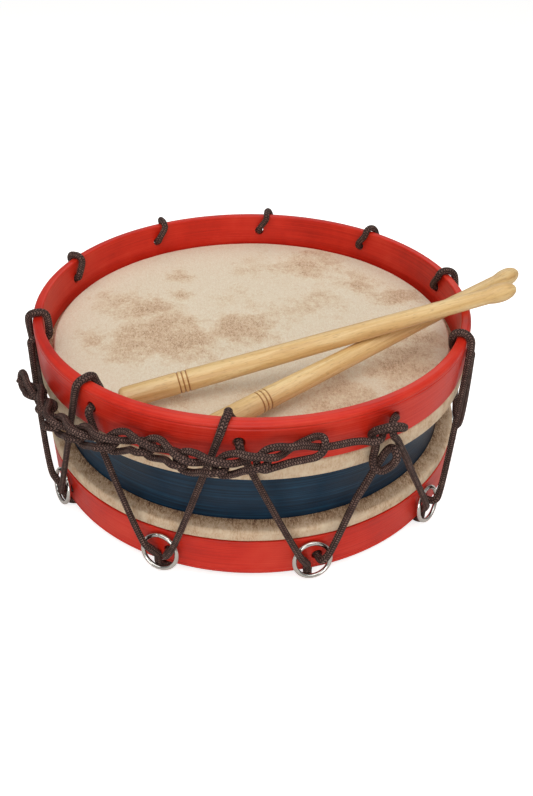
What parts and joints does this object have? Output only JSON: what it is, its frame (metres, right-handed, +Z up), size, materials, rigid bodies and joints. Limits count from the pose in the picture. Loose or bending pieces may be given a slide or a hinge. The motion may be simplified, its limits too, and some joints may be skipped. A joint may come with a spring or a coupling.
{
  "type": "rope-tensioned tabor drum",
  "caption": "Shallow rope-tensioned drum with a skin on each end, red hoops, a blue shell, cord lacing tightened by steel rings, a plaited tail and drumsticks laid on top.",
  "frame": {"origin": "on the floor, under the middle of the box round the whole object", "axes": "+Z up along the drum's axis, from the lower head to the upper one; -Y towards the viewer in front, with the lacing's knot right of the middle; +X to that viewer's right, where the drumsticks' tips point"},
  "size_m": [0.3826, 0.361, 0.1687],
  "materials": {
    "hoop_paint": "red gloss paint on bent wood",
    "shell_paint": "dark blue brushed paint on bent wood",
    "bare_wood": "bare",
    "skin": "dry, scraped rawhide",
    "steel": "bright plated wire",
    "cord": "braided",
    "stick_wood": "fine turned, clear lacquer"
  },
  "bodies": {
    "drum": {"shell": "shell_paint", "top_head": "skin", "bottom_head": "skin", "top_flesh_hoop": "bare_wood", "bottom_flesh_hoop": "bare_wood", "top_counter_hoop": "hoop_paint", "bottom_counter_hoop": "hoop_paint", "lacing_run_1": "cord", "lacing_run_2": "cord", "lacing_run_3": "cord", "lacing_run_4": "cord", "lacing_run_5": "cord", "lacing_run_6": "cord", "lacing_run_7": "cord", "lacing_run_8": "cord", "lacing_run_9": "cord", "lacing_start": "cord", "lacing_end": "cord", "lacing_foot_1": "cord", "lacing_foot_2": "cord", "lacing_foot_3": "cord", "lacing_foot_4": "cord", "lacing_foot_5": "cord", "lacing_foot_6": "cord", "lacing_foot_7": "cord", "lacing_foot_8": "cord", "lacing_foot_9": "cord", "lacing_foot_10": "cord", "lacing_knot": "cord", "plaited_tail": "cord"},
    "ring_1": {"tension_ring_1": "steel"},
    "ring_2": {"tension_ring_2": "steel"},
    "ring_3": {"tension_ring_3": "steel"},
    "ring_4": {"tension_ring_4": "steel"},
    "ring_5": {"tension_ring_5": "steel"},
    "ring_6": {"tension_ring_6": "steel"},
    "ring_7": {"tension_ring_7": "steel"},
    "ring_8": {"tension_ring_8": "steel"},
    "ring_9": {"tension_ring_9": "steel"},
    "ring_10": {"tension_ring_10": "steel"},
    "lower_stick": {"lower_drumstick": "stick_wood"},
    "upper_stick": {"upper_drumstick": "stick_wood"}
  },
  "joints": [
    {"name": "ring_1_slide", "type": "slide", "parent": "drum", "child": "ring_1", "axis": [0, 0, 1], "range_m": [0, 0.005]},
    {"name": "ring_2_slide", "type": "slide", "parent": "drum", "child": "ring_2", "axis": [0, 0, 1], "range_m": [0, 0.005]},
    {"name": "ring_3_slide", "type": "slide", "parent": "drum", "child": "ring_3", "axis": [0, 0, 1], "range_m": [0, 0.005]},
    {"name": "ring_4_slide", "type": "slide", "parent": "drum", "child": "ring_4", "axis": [0, 0, 1], "range_m": [0, 0.005]},
    {"name": "ring_5_slide", "type": "slide", "parent": "drum", "child": "ring_5", "axis": [0, 0, 1], "range_m": [0, 0.005]},
    {"name": "ring_6_slide", "type": "slide", "parent": "drum", "child": "ring_6", "axis": [0, 0, 1], "range_m": [0, 0.005]},
    {"name": "ring_7_slide", "type": "slide", "parent": "drum", "child": "ring_7", "axis": [0, 0, 1], "range_m": [0, 0.005]},
    {"name": "ring_8_slide", "type": "slide", "parent": "drum", "child": "ring_8", "axis": [0, 0, 1], "range_m": [0, 0.005]},
    {"name": "ring_9_slide", "type": "slide", "parent": "drum", "child": "ring_9", "axis": [0, 0, 1], "range_m": [0, 0.005]},
    {"name": "ring_10_slide", "type": "slide", "parent": "drum", "child": "ring_10", "axis": [0, 0, 1], "range_m": [0, 0.005]},
    {"name": "lower_stick_lift", "type": "slide", "parent": "drum", "child": "lower_stick", "axis": [0, 0, 1], "range_m": [0, 0.15]},
    {"name": "upper_stick_lift", "type": "slide", "parent": "lower_stick", "child": "upper_stick", "axis": [0, 0, 1], "range_m": [0, 0.15]}
  ]
}
